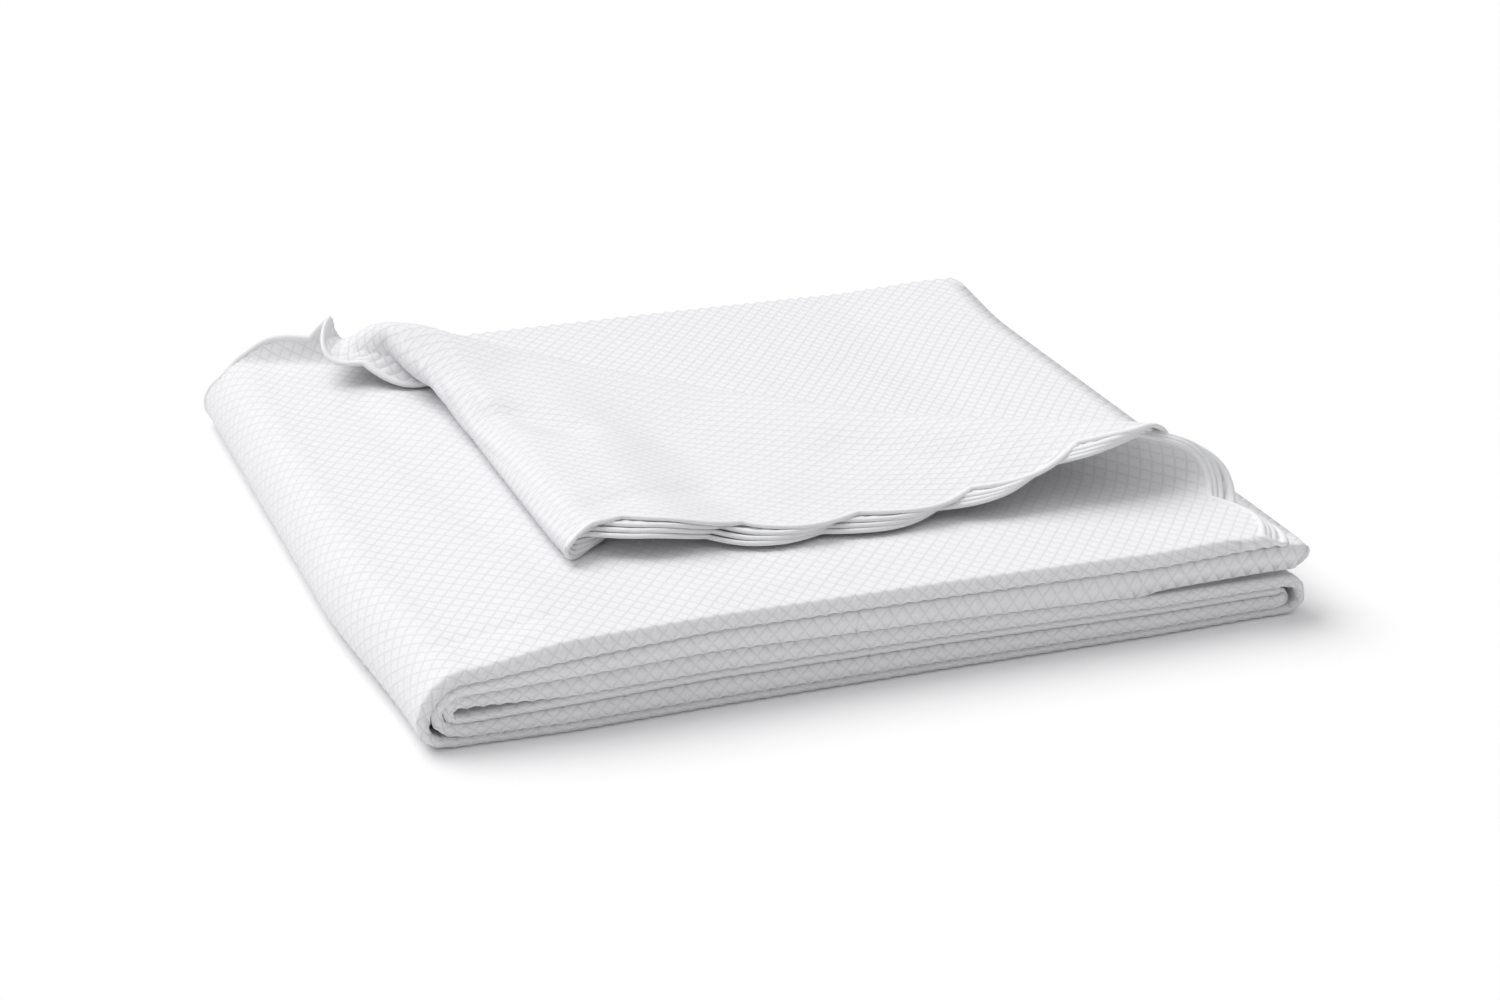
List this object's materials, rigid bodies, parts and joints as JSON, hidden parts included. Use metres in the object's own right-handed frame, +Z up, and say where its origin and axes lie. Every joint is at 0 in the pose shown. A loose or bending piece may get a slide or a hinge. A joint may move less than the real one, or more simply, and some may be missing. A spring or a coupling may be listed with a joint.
{
  "type": "folded coverlet",
  "caption": "White cotton bed coverlet with scalloped, satin-stitched edges and a fine diamond weave, folded into a square packet with one corner of the top band turned over.",
  "frame": {"origin": "under the middle of the packet, on the surface that it rests on", "axes": "+X along the front folds to the right, +Y to the back, +Z up"},
  "size_m": [0.4179, 0.425, 0.0736],
  "materials": {
    "white_cotton": "matte white cotton with a fine raised diamond weave and a satin-stitched scalloped edge"
  },
  "bodies": {
    "root": {"coverlet": "white_cotton"}
  },
  "joints": []
}
